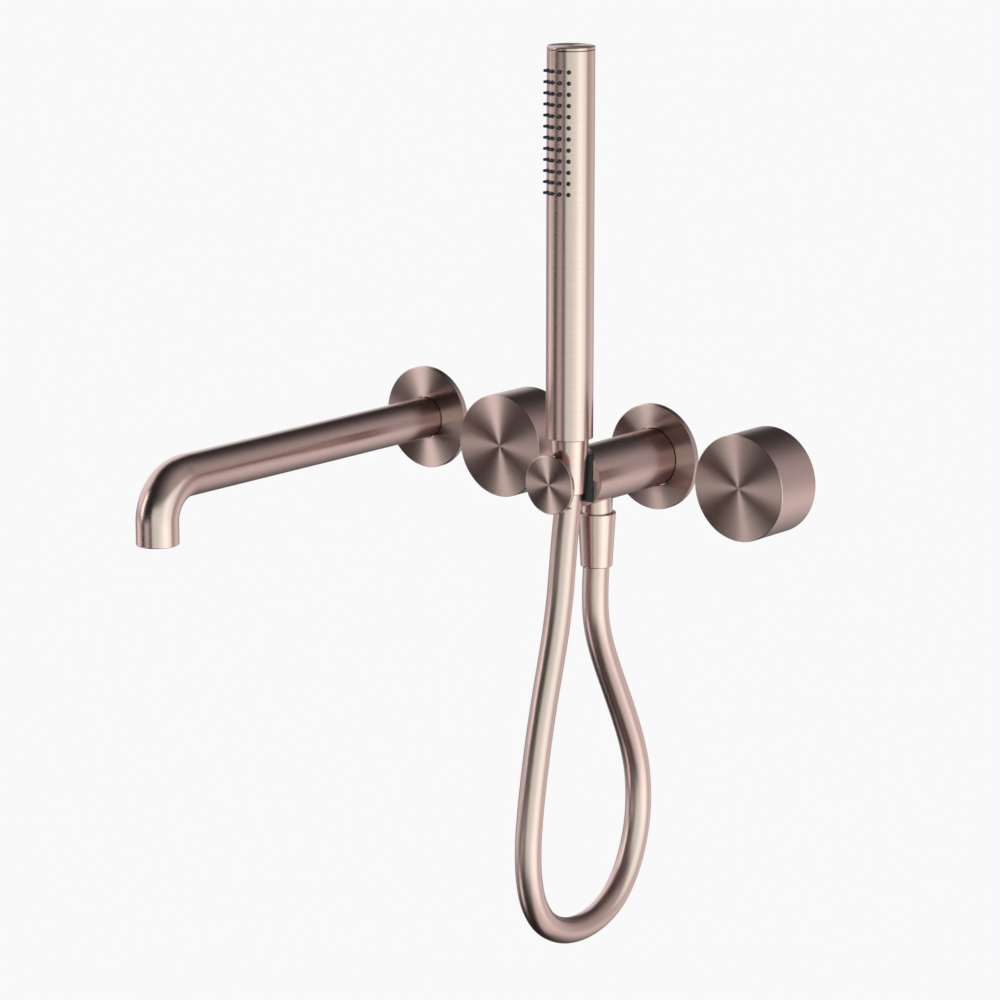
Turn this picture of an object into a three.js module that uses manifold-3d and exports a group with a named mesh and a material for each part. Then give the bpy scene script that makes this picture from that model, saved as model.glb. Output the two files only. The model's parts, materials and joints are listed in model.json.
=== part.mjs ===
// Wall-mounted bath set: bath spout, two progressive mixers, and a handset in its holder on a hose.
// Millimetres, +Z up. The wall's face is the plane y = 0 and the fittings stand out of it along -Y.
// The origin is on that face, at the height of the four fittings and midway along their row.
import * as THREE from 'three';
import { mergeVertices } from 'three/addons/utils/BufferGeometryUtils.js';
import Module from 'manifold-3d';

const wasm = await Module();
wasm.setup();

// ---- driving dimensions --------------------------------------------------------------------
const PITCH = 80; // from one fitting's axis to the next, along X
const SPOUT_X = -1.5 * PITCH;
const MIXER_XS = [-0.5 * PITCH, 1.5 * PITCH];
const ARM_X = 0.5 * PITCH;

const GAP = 0.3; // between pieces that rest on each other
const NIPPLE_BEHIND = 18; // how far the threaded nipples reach into the wall
const SLEEVE_BEHIND = 5; // and the mixers' valve sleeves

const FLANGE_R = 28.5;
const FLANGE_BACK = 1.1; // gasket 0.8, then the gap
const FLANGE_FRONT = 4.3;

const SPOUT_R = 11.3;
const SPOUT_WALL = 1.4;
const SPOUT_REACH = 217; // wall to the outlet's axis
const SPOUT_DROP = 33; // spout axis down to the outlet's rim
const SPOUT_BEND_R = 21.5;

const KNOB_R = 28;
const KNOB_BACK = 6.5;
const KNOB_FRONT = 35.8;

const ARM_R = 15.5;
const ARM_LENGTH = 92;
const SEAT_OUT = 75; // wall to the handset's axis
const OUTLET_OUT = 51.8; // wall to the hose outlet's axis
const SEAT_BORE_R = 12.7;
const SEAT_FLOOR_Z = -12.3;
const MOUTH_REAR = 68.9; // the side slot, from its rear face to its front face
const MOUTH_FRONT = 89.8;
const LINER_TOP_Z = 13.2;
const SCREW_OUT = 12; // wall to the grub screws under the spout and the arm

const HOSE_R = 7;
const NUT_LENGTH = 29;
const NUT_TOP_R = 10.1;
const NUT_END_R = 8.4;
const HOSE_IN_NUT = 19.8; // a nut's open end to the end of the hose inside it
const HANDSET_NUT_Z = 22.2; // the handset nut's open end, which faces up
const OUTLET_NUT_Z = -21.4; // the outlet nut's open end, which faces up too
const THREAD_R = 8.3; // 3/8 inch pipe thread

const HANDSET_R = 12.3;
const HANDSET_WALL = 1.4;
const HANDSET_TOP = 225.3;
const CAP_THICK = 1.6;
const NOZZLE_ROWS = 12;
const NOZZLE_PITCH = 5.66;
const NOZZLE_FIRST_Z = 150.8;
const NOZZLE_COLUMNS = [-34, -11.5, 11.5, 34]; // degrees from straight out
const NOZZLE_R = 1;
const NOZZLE_PROUD = 2.2;

// ---- helpers -------------------------------------------------------------------------------
const UP_Y_TO_OUT = new THREE.Matrix4().makeRotationZ(Math.PI);
const UP_Y_TO_Z = new THREE.Matrix4().makeRotationX(Math.PI / 2);

/** A closed solid of revolution about Y from [radius, height] pairs, up the outside first. */
function turned(profile, sides = 24) {
  return new THREE.LatheGeometry(profile.map(([r, h]) => new THREE.Vector2(r, h)), sides);
}

/** A ring, or a disc where the inner radius is 0, from one height to another. */
function ring(inner, outer, low, high, sides = 24) {
  const loop = [[inner, low], [outer, low], [outer, high], [inner, high]];
  return turned(inner > 0 ? [...loop, [inner, low]] : loop, sides);
}

/** A hexagonal or round prism along Y with its middle at the given place. */
function prism(radius, length, sides, x = 0, y = 0, z = 0) {
  return new THREE.CylinderGeometry(radius, radius, length, sides).translate(x, y, z);
}

function block(low, high) {
  const size = high.map((value, i) => value - low[i]);
  const middle = high.map((value, i) => (value + low[i]) / 2);
  return new THREE.BoxGeometry(...size).translate(...middle);
}

function toSolid(geometry) {
  const bare = geometry.clone();
  bare.deleteAttribute('normal');
  bare.deleteAttribute('uv');
  const merged = mergeVertices(bare, 1e-4);
  const corners = merged.index.array;
  const kept = [];
  for (let i = 0; i < corners.length; i += 3) {
    const [a, b, c] = [corners[i], corners[i + 1], corners[i + 2]];
    if (a !== b && b !== c && c !== a) kept.push(a, b, c);
  }
  return new wasm.Manifold(new wasm.Mesh({
    numProp: 3,
    vertProperties: new Float32Array(merged.attributes.position.array),
    triVerts: new Uint32Array(kept),
  }));
}

function toGeometry(solid) {
  const mesh = solid.getMesh();
  const geometry = new THREE.BufferGeometry();
  geometry.setAttribute('position', new THREE.BufferAttribute(new Float32Array(mesh.vertProperties), 3));
  geometry.setIndex(new THREE.BufferAttribute(new Uint32Array(mesh.triVerts), 1));
  geometry.computeVertexNormals();
  return geometry;
}

function cut(body, ...tools) {
  return toGeometry(tools.reduce((solid, tool) => solid.subtract(toSolid(tool)), toSolid(body)));
}

function join(...bodies) {
  return toGeometry(bodies.map(toSolid).reduce((all, one) => all.add(one)));
}

/** A straight run, a quarter bend and a short drop, sampled only where the pipe bends. */
class BentPipePath extends THREE.Curve {
  constructor(start, reach, drop, radius, bendSteps) {
    super();
    Object.assign(this, { start, reach, drop, radius, bendSteps });
  }

  getPoint(t) {
    const step = t * (this.bendSteps + 2) - 1;
    if (step <= 0) return new THREE.Vector3(0, -this.start - (step + 1) * this.straight(), 0);
    if (step >= this.bendSteps) {
      const down = (step - this.bendSteps) * (this.drop - this.radius);
      return new THREE.Vector3(0, -this.reach, -this.radius - down);
    }
    const angle = (step / this.bendSteps) * (Math.PI / 2);
    const out = this.start + this.straight() + this.radius * Math.sin(angle);
    return new THREE.Vector3(0, -out, -this.radius * (1 - Math.cos(angle)));
  }

  straight() {
    return this.reach - this.radius - this.start;
  }

  getPointAt(u) {
    return this.getPoint(u);
  }

  getTangentAt(u) {
    const share = THREE.MathUtils.clamp((u * (this.bendSteps + 2) - 1) / this.bendSteps, 0, 1);
    const angle = share * (Math.PI / 2);
    return new THREE.Vector3(0, -Math.cos(angle), -Math.sin(angle));
  }
}

// ---- materials -----------------------------------------------------------------------------
const bronze = () => new THREE.MeshStandardMaterial({ color: 0xa8837a, roughness: 0.32, metalness: 1 });
const brass = () => new THREE.MeshStandardMaterial({ color: 0xb59a5b, roughness: 0.4, metalness: 1 });
const steel = () => new THREE.MeshStandardMaterial({ color: 0xa9abad, roughness: 0.35, metalness: 1 });
const rubber = () => new THREE.MeshStandardMaterial({ color: 0x22242a, roughness: 0.7, metalness: 0 });
const plastic = () => new THREE.MeshStandardMaterial({ color: 0x272a30, roughness: 0.5, metalness: 0 });
const white = () => new THREE.MeshStandardMaterial({ color: 0xd9d9d4, roughness: 0.5, metalness: 0 });
const ceramic = () => new THREE.MeshStandardMaterial({ color: 0xe6e2da, roughness: 0.25, metalness: 0 });

const group = new THREE.Group();

function add(parent, name, geometry, material, place = new THREE.Matrix4()) {
  const mesh = new THREE.Mesh(geometry.applyMatrix4(place), material);
  mesh.name = name;
  parent.add(mesh);
}

function station(x) {
  const fitting = new THREE.Group();
  fitting.position.x = x;
  group.add(fitting);
  return fitting;
}

// ---- pieces that several fittings share ----------------------------------------------------
/** A headless socket screw along Z, its tip at the top and its hexagon socket at the bottom. */
function grubScrew(radius, tipZ, endZ, out) {
  const length = tipZ - endZ;
  const body = prism(radius, length, 16);
  const socket = prism(radius * 0.5, 2, 6, 0, -length / 2 + 0.5, 0);
  return cut(body, socket).applyMatrix4(UP_Y_TO_Z).translate(0, -out, (tipZ + endZ) / 2);
}

/** Wall gasket, round flange and the O-ring in the flange's groove, about a pipe of one radius. */
function wallFlange(parent, prefix, pipeR) {
  const bore = pipeR + GAP;
  const ringR = 0.9;
  const ringCentre = pipeR + 0.2 + ringR;
  const grooveR = ringCentre + ringR + 0.3;
  const grooveLow = FLANGE_BACK + 0.45;
  const grooveHigh = FLANGE_FRONT - 0.45;
  const edge = 0.3;
  add(parent, `${prefix}_gasket`, ring(pipeR + 2, FLANGE_R - 1.5, 0, 0.8, 32), rubber(), UP_Y_TO_OUT);
  add(parent, `${prefix}_flange`, turned([
    [bore, FLANGE_BACK], [FLANGE_R, FLANGE_BACK], [FLANGE_R, FLANGE_FRONT - edge],
    [FLANGE_R - edge, FLANGE_FRONT], [bore, FLANGE_FRONT], [bore, grooveHigh], [grooveR, grooveHigh],
    [grooveR, grooveLow], [bore, grooveLow], [bore, FLANGE_BACK],
  ], 32), bronze(), UP_Y_TO_OUT);
  add(parent, `${prefix}_flange_oring`, new THREE.TorusGeometry(ringCentre, ringR, 6, 20)
    .rotateX(Math.PI / 2).translate(0, -(grooveLow + grooveHigh) / 2, 0), rubber());
}

/** The threaded nipple out of the wall, which the fitting slides over, and its O-ring. */
function wallNipple(parent, prefix) {
  const bore = 5;
  const spigot = 8.4;
  const groove = [17, 19.6];
  add(parent, `${prefix}_nipple`, turned([
    [bore, -NIPPLE_BEHIND], [9.6, -NIPPLE_BEHIND], [10.4, -NIPPLE_BEHIND + 1], [10.4, -4], [spigot, -4],
    [spigot, 10], [7.6, 10], [7.6, 14], [spigot, 14], [spigot, groove[0]], [6.6, groove[0]],
    [6.6, groove[1]], [spigot, groove[1]], [spigot, 25], [7.6, 26], [bore, 26], [bore, -NIPPLE_BEHIND],
  ], 20), brass(), UP_Y_TO_OUT);
  add(parent, `${prefix}_nipple_oring`, new THREE.TorusGeometry(7.75, 0.8, 6, 16)
    .rotateX(Math.PI / 2).translate(0, -(groove[0] + groove[1]) / 2, 0), rubber());
}

/** A disc with one hole in the middle and rings of holes about it, along Y. */
function perforatedDisc(radius, low, high, holeR, rings) {
  const holes = [[0, 0]];
  for (const [count, distance] of rings) {
    for (let i = 0; i < count; i += 1) {
      const angle = (i / count) * 2 * Math.PI;
      holes.push([distance * Math.cos(angle), distance * Math.sin(angle)]);
    }
  }
  const middle = (low + high) / 2;
  const drills = holes.map(([x, z]) => prism(holeR, high - low + 2, 6, x, middle, z));
  return cut(ring(0, radius, low, high, 20), ...drills);
}

/** Conical hose nut, its flat washer and the hose's ferrule. The nut's open end is at topZ. */
function hoseEnd(parent, prefix, topZ, out) {
  const shoulder = 9;
  const threadBore = THREAD_R + GAP;
  const place = new THREE.Matrix4().makeTranslation(0, -out, topZ).multiply(UP_Y_TO_Z);
  add(parent, `${prefix}_nut`, turned([
    [HOSE_R + 0.7, -NUT_LENGTH], [NUT_END_R - 0.2, -NUT_LENGTH], [NUT_END_R, -NUT_LENGTH + 0.4],
    [NUT_TOP_R, -0.4], [NUT_TOP_R - 0.3, 0], [threadBore, 0], [threadBore, -shoulder],
    [HOSE_R + 0.7, -shoulder], [HOSE_R + 0.7, -NUT_LENGTH],
  ], 24), bronze(), place);
  add(parent, `${prefix}_washer`, ring(4.5, 8.2, -6.7, -5, 20), rubber(), place);
  add(parent, `${prefix}_ferrule`, turned([
    [4, -19.5], [HOSE_R, -19.5], [HOSE_R, -8.7], [8.3, -8.7], [8.3, -7], [4, -7], [4, -19.5],
  ], 16), brass(), place);
}

// ---- bath spout ----------------------------------------------------------------------------
function makeSpout() {
  const spout = station(SPOUT_X);
  const start = FLANGE_BACK + 0.2;
  const screwHole = new THREE.CylinderGeometry(2.1, 2.1, 8, 12).rotateX(Math.PI / 2)
    .translate(0, -SCREW_OUT, -SPOUT_R);
  const inner = SPOUT_R - SPOUT_WALL;
  const section = new THREE.Shape().absarc(0, 0, SPOUT_R, 0, 2 * Math.PI);
  section.holes.push(new THREE.Path().absarc(0, 0, inner, 0, 2 * Math.PI, true));
  const bendSteps = 8;
  const pipe = new THREE.ExtrudeGeometry(section, {
    steps: bendSteps + 2,
    curveSegments: 12,
    extrudePath: new BentPipePath(start, SPOUT_REACH, SPOUT_DROP, SPOUT_BEND_R, bendSteps),
  });
  add(spout, 'spout_tube', cut(pipe, screwHole), bronze());
  wallFlange(spout, 'spout', SPOUT_R);
  wallNipple(spout, 'spout');

  const insert = ring(8.4 + GAP, inner - GAP, start + 0.2, 30, 24).applyMatrix4(UP_Y_TO_OUT);
  add(spout, 'spout_insert', cut(insert, screwHole), brass());
  add(spout, 'spout_grub_screw', grubScrew(1.8, -7.95, -11, SCREW_OUT), steel());

  const outlet = new THREE.Matrix4().makeTranslation(0, -SPOUT_REACH, -SPOUT_DROP).multiply(UP_Y_TO_Z);
  add(spout, 'aerator_housing', turned([
    [8.1, 0.5], [inner - GAP, 0.5], [inner - GAP, 8], [6.6, 8], [6.6, 7], [8.1, 7], [8.1, 0.5],
  ], 20), plastic(), outlet);
  add(spout, 'aerator_core', perforatedDisc(7.8, 1.1, 5.6, 0.75, [[6, 2.6], [8, 5.4]]), white(), outlet);
  add(spout, 'aerator_seal', ring(6.6, inner - GAP, 8.3, 9.8, 24), rubber(), outlet);
}

// ---- mixers --------------------------------------------------------------------------------
function makeMixer(x, number) {
  const mixer = station(x);
  const name = (piece) => `mixer_${number}_${piece}`;
  add(mixer, name('gasket'), ring(17.6, 20.6, 0, 0.8), rubber(), UP_Y_TO_OUT);
  add(mixer, name('trim_ring'), ring(17.6, 21, FLANGE_BACK, 6), bronze(), UP_Y_TO_OUT);
  add(mixer, name('valve_sleeve'), ring(14.2, 17.2, -SLEEVE_BEHIND, 4.5), brass(), UP_Y_TO_OUT);
  add(mixer, name('cartridge_body'), turned([
    [10.6, -4.6], [13.9, -4.6], [13.9, 4.5], [12, 4.5], [12, 10.4], [4.5, 10.4], [4.5, 7.2], [10.6, 7.2],
    [10.6, -4.6],
  ], 20), plastic(), UP_Y_TO_OUT);
  add(mixer, name('cartridge_nut'), cut(prism(17.5, 5, 6, 0, 7.5, 0), prism(12.3, 9, 20, 0, 7.5, 0)),
    brass(), UP_Y_TO_OUT);

  const ports = [-4.6, 4.6].map((z) => prism(2.4, 9, 10, 0, -2.8, z));
  add(mixer, name('fixed_disc'), cut(ring(0, 10.3, -4.3, -1.3, 20), ...ports), ceramic(), UP_Y_TO_OUT);
  const pocket = prism(4, 9, 12, 0, 0.5, 3.2);
  add(mixer, name('turning_disc'), cut(ring(0, 10.3, -1, 2, 20), pocket), ceramic(), UP_Y_TO_OUT);
  add(mixer, name('spindle'), turned([
    [0, 2.3], [10, 2.3], [10, 6.9], [4.2, 6.9], [4.2, 26.6], [3.6, 27.2], [0, 27.2],
  ], 16), brass(), UP_Y_TO_OUT);

  const screwOut = 23.5;
  const screwHole = new THREE.CylinderGeometry(2.7, 2.7, 24, 12).rotateX(Math.PI / 2)
    .translate(0, -screwOut, -KNOB_R + 7);
  const edge = 0.4;
  const knob = turned([
    [22, KNOB_BACK], [KNOB_R - edge, KNOB_BACK], [KNOB_R, KNOB_BACK + edge], [KNOB_R, KNOB_FRONT - edge],
    [KNOB_R - edge, KNOB_FRONT], [0, KNOB_FRONT], [0, 30.2], [9.5, 30.2], [9.5, 17], [22, 17],
    [22, KNOB_BACK],
  ], 36).applyMatrix4(UP_Y_TO_OUT);
  add(mixer, name('knob'), cut(knob, screwHole), bronze());
  add(mixer, name('knob_insert'), turned([
    [4.5, 13], [9.2, 13], [9.2, 29.9], [0, 29.9], [0, 27.6], [4.5, 27.6], [4.5, 13],
  ], 16), white(), UP_Y_TO_OUT);
  add(mixer, name('grub_screw'), grubScrew(2.4, -9.6, -16.6, screwOut), steel());
}

// ---- handset arm, holder and hose outlet ---------------------------------------------------
function makeArm() {
  const arm = station(ARM_X);
  wallFlange(arm, 'arm', ARM_R);
  wallNipple(arm, 'arm');

  const start = FLANGE_BACK + 0.2;
  const edge = 0.4;
  const bar = turned([
    [0, start], [ARM_R, start], [ARM_R, ARM_LENGTH - edge], [ARM_R - edge, ARM_LENGTH], [0, ARM_LENGTH],
  ], 36).applyMatrix4(UP_Y_TO_OUT);
  const upright = (radius, from, to, out, sides) =>
    prism(radius, to - from, sides).rotateX(Math.PI / 2).translate(0, -out, (from + to) / 2);
  const past = ARM_R + 2;
  const hoseGap = HOSE_R + 1.4;
  add(arm, 'holder_arm', cut(
    bar,
    ring(0, 8.7, 0, 27, 24).applyMatrix4(UP_Y_TO_OUT),
    ring(0, 5, 20, OUTLET_OUT + 5, 16).applyMatrix4(UP_Y_TO_OUT),
    upright(THREAD_R + GAP, -past, -4, OUTLET_OUT, 24),
    upright(5, -6, 0, OUTLET_OUT, 16),
    upright(SEAT_BORE_R, SEAT_FLOOR_Z, past, SEAT_OUT, 28),
    block([0, -MOUTH_FRONT, SEAT_FLOOR_Z], [past, -MOUTH_REAR, past]),
    upright(hoseGap, -past, 0, SEAT_OUT + 0.6, 24),
    block([0, -SEAT_OUT - 0.6 - hoseGap, -past], [past, -SEAT_OUT - 0.6 + hoseGap, 0]),
    new THREE.CylinderGeometry(2.1, 2.1, 9, 12).rotateX(Math.PI / 2).translate(0, -SCREW_OUT, -12),
  ), bronze());

  // The liner is a C-shaped cone seat, trimmed to just under the arm's round outside.
  const nutR = (z) => NUT_TOP_R + ((NUT_END_R - NUT_TOP_R) * (HANDSET_NUT_Z - z)) / NUT_LENGTH;
  const low = SEAT_FLOOR_Z + GAP;
  const high = LINER_TOP_Z;
  const seat = turned([
    [nutR(low) + GAP, low], [SEAT_BORE_R - GAP, low], [SEAT_BORE_R - GAP, high], [nutR(high) + GAP, high],
    [nutR(low) + GAP, low],
  ], 28).applyMatrix4(UP_Y_TO_Z).translate(0, -SEAT_OUT, 0);
  const envelope = new THREE.CylinderGeometry(ARM_R - 0.3, ARM_R - 0.3, 40, 36).translate(0, -SEAT_OUT, 0);
  const hoseWay = -SEAT_OUT - 8;
  const mouth = block([0, hoseWay, -past], [past, -MOUTH_REAR, past]);
  const mouthEdge = 2.5;
  const frontMouth = block([mouthEdge, -MOUTH_FRONT, -past], [past, hoseWay + 0.1, past]);
  const liner = toSolid(seat).intersect(toSolid(envelope))
    .subtract(toSolid(mouth)).subtract(toSolid(frontMouth));
  add(arm, 'seat_liner', toGeometry(liner), plastic());
  add(arm, 'arm_grub_screw', grubScrew(1.8, -7.95, -14.6, SCREW_OUT), steel());

  const upAtOutlet = new THREE.Matrix4().makeTranslation(0, -OUTLET_OUT, 0).multiply(UP_Y_TO_Z);
  const nippleEnd = OUTLET_NUT_Z - 4.7;
  add(arm, 'outlet_nipple', turned([
    [6.8, nippleEnd], [THREAD_R - 0.5, nippleEnd], [THREAD_R, nippleEnd + 0.8], [THREAD_R, -4.4],
    [5.4, -4.4], [5.4, -5.7], [6.8, -5.7], [6.8, nippleEnd],
  ], 24), bronze(), upAtOutlet);
  const housing = turned([
    [1.9, -21], [6.5, -21], [6.5, -6], [3.6, -6], [3.6, -7.5], [5.2, -7.5], [5.2, -19.5], [1.9, -19.5],
    [1.9, -21],
  ], 16);
  const ways = [0, 1, 2, 3].map((i) => prism(0.9, 4, 6, 3.6 * Math.cos((i * Math.PI) / 2), -20,
    3.6 * Math.sin((i * Math.PI) / 2)));
  add(arm, 'check_valve_housing', cut(housing, ...ways), white(), upAtOutlet);
  add(arm, 'check_valve_poppet', turned([
    [0, -21.2], [1.5, -21.2], [1.5, -10], [4.4, -10], [4.4, -8.6], [3.4, -7.8], [0, -7.8],
  ], 16), plastic(), upAtOutlet);

  const turns = 4;
  const coilR = 2.75;
  const coil = [];
  for (let i = 0; i <= turns * 8; i += 1) {
    const angle = (i / 8) * 2 * Math.PI;
    const height = -18.9 + (8.3 * i) / (turns * 8);
    coil.push(new THREE.Vector3(coilR * Math.cos(angle), height, coilR * Math.sin(angle)));
  }
  add(arm, 'check_valve_spring', new THREE.ExtrudeGeometry(
    new THREE.Shape().absarc(0, 0, 0.3, 0, 2 * Math.PI),
    { steps: turns * 8, curveSegments: 3, extrudePath: new THREE.CatmullRomCurve3(coil) },
  ), steel(), upAtOutlet);
  hoseEnd(arm, 'outlet_hose', OUTLET_NUT_Z, OUTLET_OUT);
  hoseEnd(arm, 'handset_hose', HANDSET_NUT_Z, SEAT_OUT);
  return arm;
}

// ---- hose ----------------------------------------------------------------------------------
// The hose hangs in one loop below the arm, in the plane x = ARM_X. Its points are [y, z].
const HOSE_ROUTE = [
  [-OUTLET_OUT, OUTLET_NUT_Z - HOSE_IN_NUT], [-52, -50], [-52.5, -58], [-52.7, -68], [-51.9, -79],
  [-48.9, -91], [-43.2, -105], [-35, -122], [-27.3, -138], [-20.5, -154], [-16, -169], [-14.2, -184],
  [-15.1, -200], [-19.1, -215], [-26, -228.5], [-36.2, -239.4], [-49.5, -246.4], [-65, -248.8],
  [-80.5, -246], [-94.2, -237.3], [-103.2, -224.6], [-107.3, -209], [-108, -192], [-106.4, -175],
  [-103.6, -157], [-99.6, -136], [-95, -116], [-90, -97], [-85.8, -80], [-82.4, -62], [-80.4, -46],
  [-78.6, -31], [-77, -20], [-75.6, -11], [-75, -4], [-SEAT_OUT, HANDSET_NUT_Z - HOSE_IN_NUT],
];

function makeHose(arm) {
  const route = new THREE.CatmullRomCurve3(HOSE_ROUTE.map(([y, z]) => new THREE.Vector3(0, y, z)));
  const steps = 36;
  add(arm, 'hose', new THREE.ExtrudeGeometry(
    new THREE.Shape().absarc(0, 0, HOSE_R, 0, 2 * Math.PI),
    { steps, curveSegments: 5, extrudePath: route },
  ), bronze());
}

// ---- handset -------------------------------------------------------------------------------
function makeHandset(arm) {
  const handset = new THREE.Group();
  handset.position.y = -SEAT_OUT;
  arm.add(handset);
  const inner = HANDSET_R - HANDSET_WALL;
  const low = HANDSET_NUT_Z + GAP;
  const high = HANDSET_TOP - CAP_THICK - GAP;
  const nozzles = [];
  for (let row = 0; row < NOZZLE_ROWS; row += 1) {
    for (const column of NOZZLE_COLUMNS) nozzles.push([NOZZLE_FIRST_Z + row * NOZZLE_PITCH, column]);
  }
  // One pin through the wall per nozzle, along the radius at its own angle from straight out.
  const pin = (radius, from, to, [z, degrees], sides) =>
    prism(radius, to - from, sides, 0, -(from + to) / 2, 0)
      .rotateZ(THREE.MathUtils.degToRad(degrees)).translate(0, 0, z);

  const shell = ring(inner, HANDSET_R, low, high, 36).applyMatrix4(UP_Y_TO_Z);
  const holes = nozzles.map((place) => pin(NOZZLE_R + GAP, inner - 2, HANDSET_R + 2, place, 6));
  add(handset, 'handset_tube', cut(shell, ...holes), bronze());

  const stripIn = inner - 2;
  const stripOut = inner - GAP;
  const arc = new THREE.Shape();
  const half = THREE.MathUtils.degToRad(48);
  const down = -Math.PI / 2;
  arc.absarc(0, 0, stripOut, down - half, down + half, false);
  arc.absarc(0, 0, stripIn, down + half, down - half, true);
  arc.closePath();
  const stripLow = NOZZLE_FIRST_Z - 4;
  const stripHigh = NOZZLE_FIRST_Z + (NOZZLE_ROWS - 1) * NOZZLE_PITCH + 3;
  const strip = new THREE.ExtrudeGeometry(arc, {
    depth: stripHigh - stripLow,
    bevelEnabled: false,
    curveSegments: 8,
  }).translate(0, 0, stripLow);
  const teats = nozzles.map((place) => pin(NOZZLE_R, inner - 1, HANDSET_R + NOZZLE_PROUD, place, 6));
  add(handset, 'nozzle_strip', join(strip, ...teats), rubber());

  const edge = 0.4;
  add(handset, 'handset_cap', turned([
    [0, high - 5], [inner - 2, high - 5], [inner - 2, high - 3.6], [inner - GAP, high - 3.6],
    [inner - GAP, high + GAP], [HANDSET_R, high + GAP],
    [HANDSET_R, HANDSET_TOP - edge], [HANDSET_R - edge, HANDSET_TOP], [0, HANDSET_TOP],
  ], 36), bronze(), UP_Y_TO_Z);
  add(handset, 'handset_cap_oring', new THREE.TorusGeometry(inner - 1.05, 0.7, 6, 16)
    .translate(0, 0, high - 4.7), rubber());

  const spigotEnd = HANDSET_NUT_Z - 4.7;
  add(handset, 'handset_inlet', turned([
    [5.9, spigotEnd], [THREAD_R, spigotEnd], [THREAD_R, low + 0.3], [inner - GAP, low + 0.3],
    [inner - GAP, 35], [4.5, 35], [4.5, spigotEnd + 3.8], [5.9, spigotEnd + 3.8], [5.9, spigotEnd],
  ], 20), brass(), UP_Y_TO_Z);
  add(handset, 'handset_filter', perforatedDisc(5.6, spigotEnd + 0.2, spigotEnd + 3.4, 0.8, [[6, 3.4]]),
    white(), UP_Y_TO_Z);
  add(handset, 'handset_waterway', turned([
    [6.4, 35.4], [inner - GAP, 35.4], [inner - GAP, 38], [8, 38], [8, stripLow - 3],
    [inner - GAP, stripLow - 3], [inner - GAP, stripLow - 0.4], [6.4, stripLow - 0.4], [6.4, 35.4],
  ], 20), white(), UP_Y_TO_Z);
}

makeSpout();
MIXER_XS.forEach((x, i) => makeMixer(x, i + 1));
const armStation = makeArm();
makeHose(armStation);
makeHandset(armStation);

export default group;
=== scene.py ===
"""Looks of the wall-mounted bath set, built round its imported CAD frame.

Lengths are in millimetres, as on the drawing, until a mesh is made. The wall's face is y = 0, the
fittings stand out of it along -Y, and "out" is a distance from the wall.
"""
import json
import math

import bpy
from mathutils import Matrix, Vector
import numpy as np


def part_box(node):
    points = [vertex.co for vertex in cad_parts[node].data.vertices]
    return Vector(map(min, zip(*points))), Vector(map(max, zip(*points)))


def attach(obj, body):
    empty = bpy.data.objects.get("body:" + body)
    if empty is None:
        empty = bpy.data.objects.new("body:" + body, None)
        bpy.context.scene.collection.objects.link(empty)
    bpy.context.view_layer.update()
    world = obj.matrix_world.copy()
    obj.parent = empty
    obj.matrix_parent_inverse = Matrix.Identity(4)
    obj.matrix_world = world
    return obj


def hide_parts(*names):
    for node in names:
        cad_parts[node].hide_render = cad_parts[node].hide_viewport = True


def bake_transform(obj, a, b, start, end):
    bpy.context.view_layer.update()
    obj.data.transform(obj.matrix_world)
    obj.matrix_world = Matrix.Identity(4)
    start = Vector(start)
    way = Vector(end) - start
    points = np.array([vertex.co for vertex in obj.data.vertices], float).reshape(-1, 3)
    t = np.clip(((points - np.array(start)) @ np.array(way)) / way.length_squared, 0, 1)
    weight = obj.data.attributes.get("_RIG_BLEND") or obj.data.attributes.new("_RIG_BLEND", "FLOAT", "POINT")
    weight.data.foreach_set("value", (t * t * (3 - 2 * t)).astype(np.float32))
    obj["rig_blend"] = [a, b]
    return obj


MM = 0.001
ACROSS = (1, 0, 0)
OUT = (0, -1, 0)
UP = (0, 0, 1)

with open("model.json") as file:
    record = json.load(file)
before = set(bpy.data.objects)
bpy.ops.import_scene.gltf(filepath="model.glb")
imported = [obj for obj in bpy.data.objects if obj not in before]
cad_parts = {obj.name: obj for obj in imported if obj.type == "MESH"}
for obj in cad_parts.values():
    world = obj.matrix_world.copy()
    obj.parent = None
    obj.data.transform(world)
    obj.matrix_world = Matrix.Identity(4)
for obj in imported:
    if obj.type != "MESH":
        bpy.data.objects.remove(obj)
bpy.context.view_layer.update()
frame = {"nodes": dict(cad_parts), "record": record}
bodies = frame["record"]["behaviour"]["bodies"]
BODY_OF = {node: body for body, members in bodies.items() for node in members}

# ---- driving dimensions --------------------------------------------------------------------


def box(node):
    """Lowest and highest corner of a CAD node, in millimetres."""
    low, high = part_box(node)
    return low / MM, high / MM


def middle_x(node):
    low, high = box(node)
    return (low.x + high.x) / 2


def radius_x(node):
    low, high = box(node)
    return (high.x - low.x) / 2


SPOUT_X = middle_x("spout_flange")
ARM_X = middle_x("arm_flange")
GAP = 0.3
PIPE_WALL = 1.4

SPOUT_R = radius_x("spout_tube")
SPOUT_BEND_R = 21.5
SPOUT_REACH = -box("spout_tube")[0].y - SPOUT_R
SPOUT_DROP = -box("spout_tube")[0].z

FLANGE_R = radius_x("spout_flange")
FLANGE_BACK = -box("spout_flange")[1].y
FLANGE_FRONT = -box("spout_flange")[0].y

KNOB_R = radius_x("mixer_1_knob")
KNOB_BACK = -box("mixer_1_knob")[1].y
KNOB_FRONT = -box("mixer_1_knob")[0].y
KNOB_SCREW_OUT = 23.5

ARM_R = radius_x("holder_arm")
ARM_LENGTH = -box("holder_arm")[0].y
SEAT_OUT = 75
OUTLET_OUT = 51.8
SEAT_BORE_R = 12.7
SEAT_FLOOR_Z = -12.3
MOUTH_REAR = 68.9
MOUTH_FRONT = 89.8
MOUTH_EDGE_X = ARM_X + 2.5
LINER_TOP_Z = 13.2
SCREW_OUT = 12
SCREW_R = 1.8
SCREW_HOLE_R = 2.1
SCREW_TIP_Z = -7.95

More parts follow.
